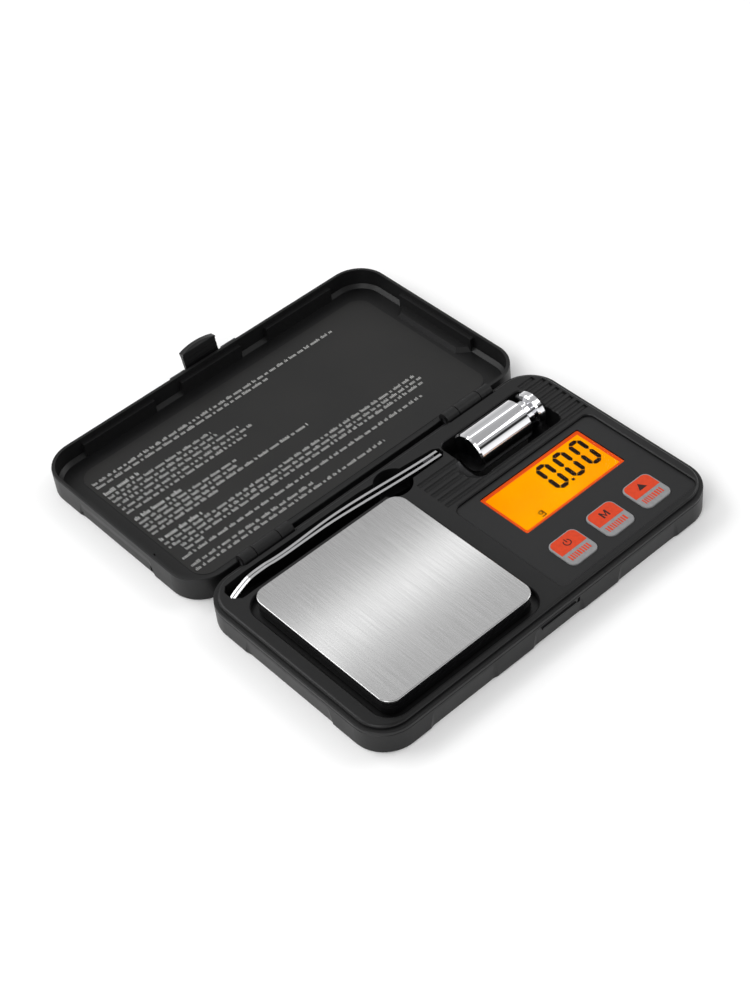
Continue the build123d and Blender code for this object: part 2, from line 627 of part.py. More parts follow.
def lid_shell():
    y_middle = (LID_Y[0] + LID_Y[1]) / 2
    outer = case_outline(y_middle, (0, RIM_Z))
    outer = fillet(edges_at(outer, 0), 0.7)
    outer = fillet(edges_at(outer, RIM_Z), 0.3)
    for cutter in side_reliefs(y_middle, 1):
        outer -= cutter
    shell = outer - case_outline(y_middle, (LID_FLOOR_TOP, RIM_Z + 1), LID_WALL)
    cove = case_outline(y_middle, (LID_FLOOR_TOP - 0.1, LID_FLOOR_TOP + 1.2), LID_WALL - 0.1)
    cove -= case_outline(y_middle, (LID_FLOOR_TOP - 0.2, LID_FLOOR_TOP + 2), LID_WALL + 1.2)
    shell += chamfer_inner(cove)
    for block in lid_blocks():
        shell += block

    # Local thickening and clearance for the hinge barrels.
    for side in (-1, 1):
        xs = grow(sorted((side * KNUCKLES[0][0], side * KNUCKLES[-1][1])), 1.0)
        shell += slab(xs, (LID_Y[0] + 0.5, LID_Y[0] + 3.0), (LID_FLOOR_TOP - 0.1, RIM_Z - 1.8))
    for room in hinge_room(1, 0.25):
        shell -= room
    for side in (-1, 1):
        shell += knuckle(sorted((side * KNUCKLES[1][0] + side * KNUCKLE_GAP,
                                 side * KNUCKLES[1][1] - side * KNUCKLE_GAP)), 1)

    # Ears that hold the latch pin.
    for side in (-1, 1):
        xs = sorted((side * BOSS_X[0], side * BOSS_X[1]))
        ear = rod_x(xs, LATCH_Y, LATCH_Z, 1.25)
        ear += slab(xs, (LID_Y[1] - 0.5, LATCH_Y), (LATCH_Z - 1.25, LATCH_Z + 1.25))
        shell += ear
        shell -= rod_x(grow(xs, 1), LATCH_Y, LATCH_Z, 0.45)
    return shell


def chamfer_inner(ring):
    """Slope the cove's upper inner edge down to the floor."""
    top = edges_at(ring, LID_FLOOR_TOP + 1.2)
    return chamfer([edge for edge in top if inside_ring(edge)], 1.1)


def inside_ring(edge):
    """True for the edges of the cove's inner outline."""
    y_middle = (LID_Y[0] + LID_Y[1]) / 2
    box = edge.bounding_box()
    reach_x = max(abs(box.min.X), abs(box.max.X))
    reach_y = max(abs(box.min.Y - y_middle), abs(box.max.Y - y_middle))
    limit_x = CASE_LENGTH / 2 - LID_WALL - 1.1
    limit_y = CASE_WIDTH / 2 - LID_WALL - 1.1
    return reach_x < limit_x and reach_y < limit_y


def lid_label():
    """Thin printed sheet on the lid's floor."""
    y_middle = (LID_Y[0] + LID_Y[1]) / 2
    y_range = grow((y_middle, y_middle), 29.6)
    return slab((-55.8, 55.8), y_range, (LID_FLOOR_TOP, LID_FLOOR_TOP + LABEL_T), 5.0)


def latch():
    """Snap latch: barrel, curved plate, hook and finger lip, leaning outwards."""
    barrel = rod_x(LATCH_X, LATCH_Y, LATCH_Z, LATCH_R)
    top = LATCH_Z + LATCH_LEN
    inner = LID_Y[1] + 0.7
    profile = [(inner + 0.1, LATCH_Z), (inner, top - 1.6), (inner - 0.5, top - 1.3),
               (inner - 0.5, top - 0.7), (inner + 0.3, top), (inner + 1.9, top),
               (inner + 1.5, top - 1.2), (inner + 1.25, top - 2.4), (inner + 1.2, LATCH_Z)]
    plate = prism_x(profile, LATCH_X)
    # Arched free edge.
    arch = Pos(sum(LATCH_X) / 2, LATCH_Y, top - 24.0) * Rot(90, 0, 0) * Cylinder(24.0, 10)
    plate = plate & (arch + slab(LATCH_X, (LATCH_Y - 5, LATCH_Y + 5), (0, top - 2)))
    # Two shallow grooves across the inner face.
    for z in (top - 3.2, top - 4.8):
        plate -= slab(grow(LATCH_X, 1), (inner - 1, inner + 0.2), (z, z + 0.5))
    closed = barrel + plate - rod_x(grow(LATCH_X, 1), LATCH_Y, LATCH_Z, 0.5)
    swing = Pos(0, LATCH_Y, LATCH_Z) * Rot(-LATCH_LEAN, 0, 0) * Pos(0, -LATCH_Y, -LATCH_Z)
    return swing * closed


def pins():
    """Hinge pins, one through each barrel group."""
    solids = []
    for side in (-1, 1):
        xs = grow(sorted((side * KNUCKLES[0][0], side * KNUCKLES[-1][1])), -0.1)
        solids.append(rod_x(xs, HINGE_Y, HINGE_Z, PIN_R))
    return Compound(solids)


# ---------------------------------------------------------------- write the pieces
def main():
    os.makedirs("parts", exist_ok=True)
    write("base_shell", base_shell())
    write("battery_cover", battery_cover())
    write("coin_cells", coin_cells())
    write("battery_contacts", battery_contacts())
    write("rubber_feet", rubber_feet())
    write("case_screws", case_screws())
    write("deck_housing", deck_housing())
    write("display_panel", display_panel())
    write("display_lens", slab(WINDOW_X, WINDOW_Y, PANEL_Z, 0.6))
    write("lcd_glass", lcd_glass())
    write("backlight", slab(grow(WINDOW_X, 0.6), grow(WINDOW_Y, 0.6), (BOARD_Z[1], LCD_Z[0])))
    write("circuit_board", circuit_board())
    write("controller_chip", slab((15.0, 20.0), (-32.0, -27.0), (BOARD_Z[0] - 1.0, BOARD_Z[0])))
    write("dome_switches", dome_switches())
    for name, x in zip(("power", "mode", "tare"), BUTTON_X):
        write(f"button_{name}", button(x))
    write("platform_plate", platform_plate())
    write("platform_tray", platform_tray())
    write("load_cell", load_cell())
    write("strain_gauges", strain_gauges())
    write("cell_base_screws", cell_screws(BASE_SCREW_X, CELL_Z[0] + 2.2, (0.05, 0.8), 1.9))
    write("cell_post_screws", cell_screws(POST_SCREW_X, CELL_Z[1] - 2.2, (11.1, 12.1), 1.9))
    write("cell_leads", cell_leads())
    write("calibration_weight", calibration_weight())
    write("weight_pad", weight_pad())
    write("tweezers_back_arm", tweezers_arm(BACK_ARM))
    write("tweezers_front_arm", tweezers_arm(FRONT_ARM))
    write("tweezers_heel", tweezers_heel())
    write("hinge_pins", pins())
    write("lid_shell", lid_shell())
    write("lid_label", lid_label())
    write("latch", latch())
    write("latch_pin", rod_x(grow((-BOSS_X[1], BOSS_X[1]), -0.1), LATCH_Y, LATCH_Z, 0.45))


if __name__ == "__main__":
    main()
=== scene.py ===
import math
import random

import bmesh
import bpy
from mathutils import Matrix, Vector


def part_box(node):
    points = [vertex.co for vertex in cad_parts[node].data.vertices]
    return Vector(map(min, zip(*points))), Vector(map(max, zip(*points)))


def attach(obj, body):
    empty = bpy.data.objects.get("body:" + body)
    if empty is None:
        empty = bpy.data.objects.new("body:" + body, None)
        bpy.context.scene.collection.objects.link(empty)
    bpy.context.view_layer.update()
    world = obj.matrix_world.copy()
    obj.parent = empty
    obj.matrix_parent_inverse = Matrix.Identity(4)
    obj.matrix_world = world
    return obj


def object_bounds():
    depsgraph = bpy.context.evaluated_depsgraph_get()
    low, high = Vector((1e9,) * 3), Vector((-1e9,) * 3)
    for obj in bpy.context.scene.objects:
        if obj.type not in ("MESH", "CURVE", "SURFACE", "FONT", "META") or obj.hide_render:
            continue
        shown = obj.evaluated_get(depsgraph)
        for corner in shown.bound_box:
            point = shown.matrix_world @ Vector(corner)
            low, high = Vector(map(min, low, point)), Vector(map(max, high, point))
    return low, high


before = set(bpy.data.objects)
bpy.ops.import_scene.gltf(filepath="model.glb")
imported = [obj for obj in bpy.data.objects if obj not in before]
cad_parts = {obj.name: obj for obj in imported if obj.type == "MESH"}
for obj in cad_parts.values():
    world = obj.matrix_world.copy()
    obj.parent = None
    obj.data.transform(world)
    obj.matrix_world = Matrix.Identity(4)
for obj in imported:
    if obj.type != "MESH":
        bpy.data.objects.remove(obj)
CAD_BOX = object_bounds()

MM = 0.001
PRINT_T = 0.03 * MM          # thickness of printed ink
KEYS = ("button_power", "button_mode", "button_tare")


# ---------------------------------------------------------------- places read from the frame
def corners(node):
    """Lowest and highest corners of a CAD node at rest."""
    low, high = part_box(node)
    return Vector(low), Vector(high)


def middle(node):
    low, high = corners(node)
    return (low + high) / 2


# ---------------------------------------------------------------- mesh helpers
def mesh_object(name, mesh, material, body):
    """Wraps a mesh as a piece that rides on a body."""
    piece = bpy.data.objects.new(name, mesh)
    bpy.context.collection.objects.link(piece)
    piece.data.materials.append(material)
    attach(piece, body)
    return piece


def add_prism(bm, outline, low_z, high_z):
    """Closed prism over a counter-clockwise outline of (x, y) points."""
    low = [bm.verts.new((x, y, low_z)) for x, y in outline]
    high = [bm.verts.new((x, y, high_z)) for x, y in outline]
    bm.faces.new(list(reversed(low)))
    bm.faces.new(high)
    count = len(outline)
    for i in range(count):
        j = (i + 1) % count
        bm.faces.new((low[i], low[j], high[j], high[i]))


def add_ring(bm, inner, outer, low_z, high_z):
    """Closed ring between two counter-clockwise outlines with equal numbers of points."""
    rows = [[bm.verts.new((x, y, z)) for x, y in outline]
            for outline, z in ((outer, low_z), (outer, high_z), (inner, high_z), (inner, low_z))]
    count = len(inner)
    for k in range(4):
        first, second = rows[k], rows[(k + 1) % 4]
        for i in range(count):
            j = (i + 1) % count
            bm.faces.new((first[i], first[j], second[j], second[i]))


def finish_mesh(bm, name):
    bmesh.ops.recalc_face_normals(bm, faces=bm.faces)
    mesh = bpy.data.meshes.new(name)
    bm.to_mesh(mesh)
    bm.free()
    return mesh


def rounded_rectangle(low, high, radius, steps=8, top_only=False):
    """Outline of a rectangle with rounded corners; the lower pair stays square if top_only."""
    points = []
    spots = ((high[0] - radius, high[1] - radius, 0), (low[0] + radius, high[1] - radius, 1),
             (low[0] + radius, low[1] + radius, 2), (high[0] - radius, low[1] + radius, 3))
    for x, y, quarter in spots:
        if top_only and quarter >= 2:
            points.append((low[0] if quarter == 2 else high[0], low[1]))
            continue
        for step in range(steps + 1):
            angle = (quarter + step / steps) * math.pi / 2
            points.append((x + radius * math.cos(angle), y + radius * math.sin(angle)))
    return points


# ---------------------------------------------------------------- node helpers
class Nodes:
    """Short hand for building one procedural material."""

    def __init__(self, name):
        self.material = bpy.data.materials.new(name)
        self.material.use_nodes = True
        self.tree = self.material.node_tree
        self.shader = self.tree.nodes["Principled BSDF"]
        self.place = self.add("ShaderNodeTexCoord").outputs["Object"]

    def add(self, kind, **values):
        node = self.tree.nodes.new(kind)
        for key, value in values.items():
            setattr(node, key, value)
        return node

    def link(self, source, target):
        self.tree.links.new(source, target)

    def set(self, **values):
        for key, value in values.items():
            self.shader.inputs[key.replace("_", " ")].default_value = value

    def scaled(self, factors):
        """Object place stretched along each axis."""
        node = self.add("ShaderNodeMapping")
        node.inputs["Scale"].default_value = factors
        self.link(self.place, node.inputs["Vector"])
        return node.outputs["Vector"]

    def noise(self, scale, detail=3.0, stretch=(1, 1, 1)):
        node = self.add("ShaderNodeTexNoise")
        node.inputs["Scale"].default_value = scale
        node.inputs["Detail"].default_value = detail
        self.link(self.scaled(stretch), node.inputs["Vector"])
        return node.outputs["Fac"]

    def ramp(self, factor, stops):
        node = self.add("ShaderNodeValToRGB")
        elements = node.color_ramp.elements
        while len(elements) < len(stops):
            elements.new(0.5)
        for element, (place, colour) in zip(elements, stops):
            element.position = place
            element.color = (*colour, 1.0)
        self.link(factor, node.inputs["Fac"])
        return node.outputs["Color"]

    def spread(self, factor, low, high):
        """Maps a 0..1 factor to low..high."""
        node = self.add("ShaderNodeMapRange")
        node.inputs["To Min"].default_value = low
        node.inputs["To Max"].default_value = high
        self.link(factor, node.inputs["Value"])
        return node.outputs["Result"]

    def bump(self, height, strength, distance):
        node = self.add("ShaderNodeBump")
        node.inputs["Strength"].default_value = strength
        node.inputs["Distance"].default_value = distance
        self.link(height, node.inputs["Height"])
        self.link(node.outputs["Normal"], self.shader.inputs["Normal"])


# ---------------------------------------------------------------- materials
def moulded_plastic(name, dark, light, rough=(0.42, 0.52), grain=1400.0, depth=0.02):
    """Moulded plastic with a fine spark-eroded grain and faint handling wear."""
    n = Nodes(name)
    blotches = n.noise(60.0, 4.0)
    n.link(n.ramp(blotches, [(0.3, dark), (0.7, light)]), n.shader.inputs["Base Color"])
    n.link(n.spread(n.noise(220.0, 4.0), *rough), n.shader.inputs["Roughness"])
    n.bump(n.noise(grain, 2.0), 0.35, depth * MM)
    n.set(IOR=1.5, Specular_IOR_Level=0.3)
    return n.material


def brushed_metal(name, colour, along, rough, streak, depth):
    """Metal with fine straight brush lines along one axis."""
    n = Nodes(name)
    stretch = [1.0, 1.0, 1.0]
    stretch[along] = 0.02
    lines = n.noise(streak, 4.0, stretch)
    fine = n.noise(streak * 4, 2.0, stretch)
    shade = n.ramp(lines, [(0.35, [c * 0.88 for c in colour]), (0.65, colour)])
    n.link(shade, n.shader.inputs["Base Color"])
    n.link(n.spread(fine, *rough), n.shader.inputs["Roughness"])
    n.bump(lines, 0.5, depth * MM)
    n.set(Metallic=1.0)
    return n.material


def polished_metal(name, colour, rough=(0.03, 0.07)):
    """Bright plated metal with faint smudges."""
    n = Nodes(name)
    n.link(n.spread(n.noise(180.0, 3.0), *rough), n.shader.inputs["Roughness"])
    n.link(n.ramp(n.noise(90.0), [(0.35, [c * 0.96 for c in colour]), (0.65, colour)]),
           n.shader.inputs["Base Color"])
    n.set(Metallic=1.0)
    return n.material


def printed_sheet(name, dark, light, rough):
    """Satin printed sheet, slightly cloudy."""
    n = Nodes(name)
    n.link(n.ramp(n.noise(35.0, 3.0), [(0.3, dark), (0.7, light)]), n.shader.inputs["Base Color"])
    n.link(n.spread(n.noise(500.0, 2.0), *rough), n.shader.inputs["Roughness"])
    n.bump(n.noise(2600.0, 2.0), 0.25, 0.008 * MM)
    n.set(Specular_IOR_Level=0.35)
    return n.material


def ink(name, colour, rough=0.6):
    """Screen-printed ink with slightly uneven cover."""
    n = Nodes(name)
    n.link(n.ramp(n.noise(900.0, 2.0), [(0.2, [c * 0.85 for c in colour]), (0.6, colour)]),
           n.shader.inputs["Base Color"])
    n.set(Roughness=rough, Specular_IOR_Level=0.2)
    return n.material


def glowing_display(name, shade, glow, strength):
    """Backlit glass: a glow that shifts between two tones in soft cloudy patches."""
    n = Nodes(name)
    cloudy = n.noise(45.0, 1.0)
    colours = n.ramp(cloudy, [(0.25, shade), (0.75, glow)])
    n.link(colours, n.shader.inputs["Emission Color"])
    n.link(n.ramp(cloudy, [(0.25, [c * 0.1 for c in shade]), (0.75, [c * 0.1 for c in glow])]),
           n.shader.inputs["Base Color"])
    n.set(Emission_Strength=strength, Roughness=0.3, Specular_IOR_Level=0.0)
    return n.material


def clear_plastic(name):
    n = Nodes(name)
    n.link(n.spread(n.noise(200.0), 0.02, 0.05), n.shader.inputs["Roughness"])
    n.set(IOR=1.05, Transmission_Weight=1.0)
    n.shader.inputs["Base Color"].default_value = (1.0, 1.0, 1.0, 1.0)
    return n.material


def rubbery(name, dark, light):
    n = Nodes(name)
    n.link(n.ramp(n.noise(400.0, 4.0), [(0.3, dark), (0.7, light)]), n.shader.inputs["Base Color"])
    n.link(n.spread(n.noise(700.0), 0.75, 0.95), n.shader.inputs["Roughness"])
    n.bump(n.noise(1800.0, 3.0), 0.6, 0.05 * MM)
    return n.material


def circuit_resin(name):
    """Green solder mask with fine copper tracks showing through."""
    n = Nodes(name)
    tracks = n.add("ShaderNodeTexBrick")
    tracks.inputs["Scale"].default_value = 180.0
    tracks.inputs["Color1"].default_value = (0.01, 0.12, 0.045, 1)
    tracks.inputs["Color2"].default_value = (0.012, 0.14, 0.05, 1)
    tracks.inputs["Mortar"].default_value = (0.04, 0.24, 0.09, 1)
    n.link(n.place, tracks.inputs["Vector"])
    n.link(tracks.outputs["Color"], n.shader.inputs["Base Color"])
    n.set(Roughness=0.35)
    return n.material


BLACK = (0.004, 0.004, 0.0042)
SATIN_BLACK = (0.006, 0.006, 0.0063)

MATERIALS = {
    "case": moulded_plastic("case_moulding", BLACK, SATIN_BLACK, (0.36, 0.46)),
    "deck": moulded_plastic("deck_moulding", BLACK, (0.0055, 0.0055, 0.0058), (0.34, 0.44), 1700.0),
    "latch": moulded_plastic("latch_moulding", BLACK, SATIN_BLACK, (0.32, 0.42)),
    "tray": moulded_plastic("tray_moulding", (0.003, 0.003, 0.0033), (0.005, 0.005, 0.0053),
                            (0.28, 0.38)),
    "panel": printed_sheet("panel_film", (0.006, 0.006, 0.0065), (0.008, 0.008, 0.0085), (0.4, 0.5)),
    "label": printed_sheet("instruction_sheet", (0.008, 0.008, 0.008), (0.012, 0.0115, 0.011),
                           (0.3, 0.4)),
    "plate": brushed_metal("brushed_plate", (0.53, 0.53, 0.53), 1, (0.15, 0.2), 3000.0, 0.003),
    "tweezers": polished_metal("tweezers_steel", (0.6, 0.6, 0.61), (0.1, 0.18)),
    "weight": polished_metal("weight_chrome", (0.82, 0.82, 0.84)),
    "screw": brushed_metal("screw_steel", (0.5, 0.5, 0.52), 0, (0.3, 0.45), 900.0, 0.01),
    "pin": brushed_metal("pin_steel", (0.5, 0.5, 0.52), 0, (0.25, 0.4), 900.0, 0.01),
    "beam": brushed_metal("beam_aluminium", (0.75, 0.76, 0.78), 0, (0.3, 0.42), 1200.0, 0.01),
    "coin": brushed_metal("coin_steel", (0.68, 0.68, 0.7), 1, (0.2, 0.32), 1200.0, 0.008),
    "contact": brushed_metal("contact_brass", (0.8, 0.62, 0.3), 0, (0.2, 0.3), 900.0, 0.008),
    "domes": polished_metal("dome_steel", (0.7, 0.7, 0.7), (0.15, 0.25)),
    "foil": ink("gauge_foil", (0.55, 0.28, 0.06), 0.4),
    "lead": rubbery("lead_insulation", (0.35, 0.02, 0.02), (0.5, 0.04, 0.03)),
    "foot": rubbery("foot_rubber", (0.02, 0.02, 0.02), (0.03, 0.03, 0.03)),
    "foam": rubbery("foam", (0.008, 0.008, 0.008), (0.014, 0.014, 0.014)),
    "board": circuit_resin("solder_mask"),
    "chip": moulded_plastic("chip_epoxy", (0.01, 0.01, 0.01), (0.015, 0.015, 0.015), (0.5, 0.6)),
    "lens": clear_plastic("clear_window"),
    "glass": glowing_display("display_glow", (1.0, 0.27, 0.0), (1.0, 0.39, 0.0), 1.0),
    "backlight": glowing_display("backlight_glow", (1.0, 0.3, 0.02), (1.0, 0.4, 0.04), 1.0),
    "border": glowing_display("display_border", (0.85, 0.08, 0.01), (0.95, 0.1, 0.015), 0.75),
    "digit": ink("display_digits", (0.012, 0.0015, 0.0005), 0.9),
    "key_grey": ink("key_grey", (0.25, 0.25, 0.255), 0.35),
    "key_orange": ink("key_orange", (0.62, 0.05, 0.012), 0.4),
    "key_mark": ink("key_mark", (0.03, 0.012, 0.01), 0.5),
    "white_ink": ink("label_ink", (0.42, 0.42, 0.41), 0.6),
}

NODE_MATERIALS = {
    "base_shell": "case", "battery_cover": "case", "lid_shell": "case", "latch": "latch",
    "deck_housing": "deck", "display_panel": "panel", "display_lens": "lens",
    "lcd_glass": "glass", "backlight": "backlight", "circuit_board": "board",
    "controller_chip": "chip", "dome_switches": "domes", "button_power": "key_grey",
    "button_mode": "key_grey", "button_tare": "key_grey", "platform_plate": "plate",
    "platform_tray": "tray", "load_cell": "beam", "strain_gauges": "foil",
    "cell_base_screws": "screw", "cell_post_screws": "screw", "case_screws": "screw",
    "cell_leads": "lead", "coin_cells": "coin", "battery_contacts": "contact",
    "rubber_feet": "foot", "weight_pad": "foam", "calibration_weight": "weight",
    "tweezers_back_arm": "tweezers", "tweezers_front_arm": "tweezers",
    "tweezers_heel": "tweezers", "hinge_pins": "pin", "latch_pin": "pin", "lid_label": "label",
}


def dress_nodes():
    for node, key in NODE_MATERIALS.items():
        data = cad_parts[node].data
        data.materials.clear()
        data.materials.append(MATERIALS[key])


# ---------------------------------------------------------------- display
SEGMENT_W = 1.45 * MM
SEGMENT_GAP = 0.22 * MM
DIGIT_W = 4.9 * MM
DIGIT_H = 11.4 * MM
DIGIT_PITCH = 6.6 * MM
DIGIT_SLANT = 0.04
DIGITS_RIGHT = 2.6 * MM        # gap between the last digit and the window's right edge
DIGITS_BASE = 5.3 * MM         # height of the digits above the window's lower edge
POINT_SIDE = 1.0 * MM
UNIT_PLACE = (8.6 * MM, 3.3 * MM)
UNIT_BOWL = 0.75 * MM
UNIT_LINE = 0.34 * MM
UNIT_DROP = 1.3 * MM           # depth of the unit's tail below the middle of its bowl
BORDER_W = 1.15 * MM
BORDER_LAP = 0.3 * MM          # how far the border runs under the window's frame


def bar(start, end, width):
    """Six-pointed bar of a seven-segment digit between two points."""
    start = Vector(start)
    end = Vector(end)
    along = (end - start).normalized()
    across = Vector((-along.y, along.x))
    half = width / 2
    shoulder = start + along * half
    shoulder_end = end - along * half
    points = [start, shoulder - across * half, shoulder_end - across * half, end,
              shoulder_end + across * half, shoulder + across * half]
    return [(p.x, p.y) for p in points]


def zero_segments(corner):
    """The six lit bars of a zero whose lower left corner is given."""
    half = SEGMENT_W / 2
    left, right = half, DIGIT_W - half
    low, centre, high = half, DIGIT_H / 2, DIGIT_H - half
    runs = [((left, high), (right, high)), ((left, low), (right, low)),
            ((left, low), (left, centre)), ((left, centre), (left, high)),
            ((right, low), (right, centre)), ((right, centre), (right, high))]
    outlines = []
    for start, end in runs:
        a, b = Vector(start), Vector(end)
        trim = (b - a).normalized() * SEGMENT_GAP / 2
        outline = bar(a + trim, b - trim, SEGMENT_W)
        outlines.append([(corner[0] + x + DIGIT_SLANT * y, corner[1] + y) for x, y in outline])
    return outlines


def make_display():
    low, high = corners("display_lens")
    face = corners("lcd_glass")[1].z
    ink_top = face + PRINT_T

    bm = bmesh.new()
    right_edge = high.x - DIGITS_RIGHT
    base = low.y + DIGITS_BASE
    for place in range(3):
        x = right_edge - DIGIT_W - place * DIGIT_PITCH
        for outline in zero_segments((x, base)):
            add_prism(bm, outline, face, ink_top)
    point_x = right_edge - DIGIT_W - DIGIT_PITCH - (DIGIT_PITCH - DIGIT_W) * 0.5
    dot = rounded_rectangle((point_x - POINT_SIDE / 2, base), (point_x + POINT_SIDE / 2, base + POINT_SIDE),
                            0.3 * MM)
    add_prism(bm, dot, face, ink_top)
    digits = finish_mesh(bm, "display_digits")
    mesh_object("display_digits", digits, MATERIALS["digit"], "base")

    bm = bmesh.new()
    add_unit_mark(bm, (low.x + UNIT_PLACE[0], low.y + UNIT_PLACE[1]), face, ink_top)
    mark = finish_mesh(bm, "unit_mark")
    mesh_object("unit_mark", mark, MATERIALS["digit"], "base")

    bm = bmesh.new()
    outer = rounded_rectangle((low.x - BORDER_LAP, low.y - BORDER_LAP),
                              (high.x + BORDER_LAP, high.y + BORDER_LAP), 0.5 * MM)
    inner = rounded_rectangle((low.x + BORDER_W, low.y + BORDER_W), (high.x - BORDER_W, high.y - BORDER_W),
                              0.3 * MM)
    add_ring(bm, inner, outer, face, ink_top)
    border = finish_mesh(bm, "display_border")
    mesh_object("display_border", border, MATERIALS["border"], "base")


def add_unit_mark(bm, centre, low_z, high_z):
    """A small lower-case g: a bowl, and a tail that hooks under it."""
    x, y = centre
    bowl, line = UNIT_BOWL, UNIT_LINE
    ring = [(math.cos(2 * math.pi * i / 24), math.sin(2 * math.pi * i / 24)) for i in range(24)]
    outer = [(x + bowl * c, y + bowl * s) for c, s in ring]
    inner = [(x + (bowl - line) * c, y + (bowl - line) * s) for c, s in ring]
    add_ring(bm, inner, outer, low_z, high_z)
    tail_x = x + bowl - line / 2
    foot = y - UNIT_DROP
    tail = [(tail_x + line, y + bowl), (tail_x, y + bowl), (tail_x, foot),
            (x - bowl, foot), (x - bowl, foot - line), (tail_x + line, foot - line)]
    add_prism(bm, tail, low_z, high_z)


# ---------------------------------------------------------------- keys
KEY_FLANGE = 0.8 * MM
KEY_EDGE = 0.45 * MM
KEY_RADIUS = 1.75 * MM
ORANGE_SHARE = 0.56            # part of a key's face, from its top, that is orange
ICON_SIZE = 1.25 * MM
ICON_LINE = 0.32 * MM
MARK_GAP = 0.36 * MM


def key_face(node):
    """Corners of a key's flat top and its height."""
    low, high = corners(node)
    inset = KEY_FLANGE + KEY_EDGE
    return (low.x + inset, low.y + inset), (high.x - inset, high.y - inset), high.z


def key_icon(bm, node, centre, low_z, high_z):
    """A power ring, a letter M for the mode, or an arrowhead for tare."""
    x, y = centre
    size, line = ICON_SIZE, ICON_LINE
    if node == "button_power":
        arc = [math.radians(125 + 290 * i / 28) for i in range(29)]
        outer = [(x + size * math.cos(a), y + size * math.sin(a)) for a in arc]
        inner = [(x + (size - line) * math.cos(a), y + (size - line) * math.sin(a)) for a in arc]
        add_prism(bm, outer + list(reversed(inner)), low_z, high_z)
        add_prism(bm, [(x - line / 2, y), (x + line / 2, y), (x + line / 2, y + size * 1.15),
                       (x - line / 2, y + size * 1.15)], low_z, high_z)
    elif node == "button_mode":
        for side in (-1, 1):
            outside = x + side * size
            inside = x + side * (size - line * 1.6)
            outline = [(outside, y - size), (outside, y + size), (inside, y + size), (inside, y - size)]
            add_prism(bm, outline if side < 0 else list(reversed(outline)), low_z, high_z)
            slope = [(x, y - size * 0.35), (inside, y + size * 0.95), (inside, y + size * 0.35),
                     (x, y - size * 0.95)]
            add_prism(bm, slope, low_z, high_z)
    else:
        outer = [(x - size * 1.2, y - size * 0.85), (x + size * 1.2, y - size * 0.85), (x, y + size * 1.05)]
        add_prism(bm, outer, low_z, high_z)


def key_marks(bm, low, high, low_z, high_z, seed):
    """Short upright strokes where a key's caption would be; they spell nothing."""
    picker = random.Random(seed)
    tall = (high[1] - low[1]) * 0.46
    base = low[1] + (high[1] - low[1]) * 0.30
    x = low[0] + 0.9 * MM
    while x < high[0] - 1.2 * MM:
        wide = picker.choice((0.38, 0.5, 0.62)) * MM
        add_prism(bm, [(x, base), (x + wide, base), (x + wide, base + tall), (x, base + tall)], low_z, high_z)
        x += wide + MARK_GAP


def make_keys():
    for seed, node in enumerate(KEYS):
        low, high, top = key_face(node)
        body = node.replace("button_", "key_")
        ink_top = top + PRINT_T
        split = low[1] + (high[1] - low[1]) * (1 - ORANGE_SHARE)

        bm = bmesh.new()
        patch = rounded_rectangle((low[0], split), high, KEY_RADIUS, top_only=True)
        add_prism(bm, patch, top, ink_top)
        orange = finish_mesh(bm, node + "_orange")
        mesh_object(node + "_orange", orange, MATERIALS["key_orange"], body)

        bm = bmesh.new()
        key_marks(bm, low, (high[0], split), top, ink_top, seed)
        marks = finish_mesh(bm, node + "_marks")
        mesh_object(node + "_marks", marks, MATERIALS["key_orange"], body)

        bm = bmesh.new()
        centre = ((low[0] + high[0]) / 2, (split + high[1]) / 2)
        key_icon(bm, node, centre, ink_top, ink_top + PRINT_T)
        icon = finish_mesh(bm, node + "_icon")
        mesh_object(node + "_icon", icon, MATERIALS["key_mark"], body)


# ---------------------------------------------------------------- printed sheet in the lid
# Each line of the sheet: distance from the sheet's hinge edge, start, length, heading or not (mm).
TEXT_LEFT = 1.2
PARAGRAPHS = (
    ((49.6, 0, 93, False), (47.6, 0, 65, False)),
    ((43.7, 0, 12.5, True), (41.7, 0, 38, False), (39.6, 0, 39.5, False), (37.5, 0, 45, False),
     (35.2, 0, 48.5, False), (33.0, 0, 44.5, False)),
    ((29.0, 0, 17.5, True), (27.0, 0, 36, False), (25.0, 0, 35, False), (22.9, 0, 60, False),
     (21.0, 0, 24.5, False)),
    ((17.2, 0, 15, True), (15.2, 0, 96, False), (13.2, 0, 97, False), (11.2, 3, 93.5, False),
     (9.3, 3, 7, False), (7.0, 0, 91.5, False)),
    ((3.0, 0, 45, False), (0.9, 0, 71, False)),
)
LINE_SHIFT = 2.8               # added to every distance from the hinge edge, in mm
LETTER_GAP = 0.2 * MM
WORD_GAP = 0.75 * MM
HEADING = (1.6 * MM, 0.36 * MM)      # height and stroke width of a heading's letters
BODY_TEXT = (1.25 * MM, 0.22 * MM)   # the same for the other lines


def print_line(bm, picker, start, end, base, tall, stroke, low_z, high_z):
    """Word-like groups of small strokes that can't be read."""
    x = start
    left_in_word = picker.randint(2, 8)
    while x < end:
        if left_in_word == 0:
            x += WORD_GAP
            left_in_word = picker.randint(2, 8)
            continue
        wide = stroke * picker.choice((0.8, 1.0, 1.25))
        height = tall * picker.choice((0.7, 0.7, 0.72, 1.0))
        add_prism(bm, [(x, base), (x + wide, base), (x + wide, base + height), (x, base + height)],
                  low_z, high_z)
        x += wide + LETTER_GAP
        left_in_word -= 1


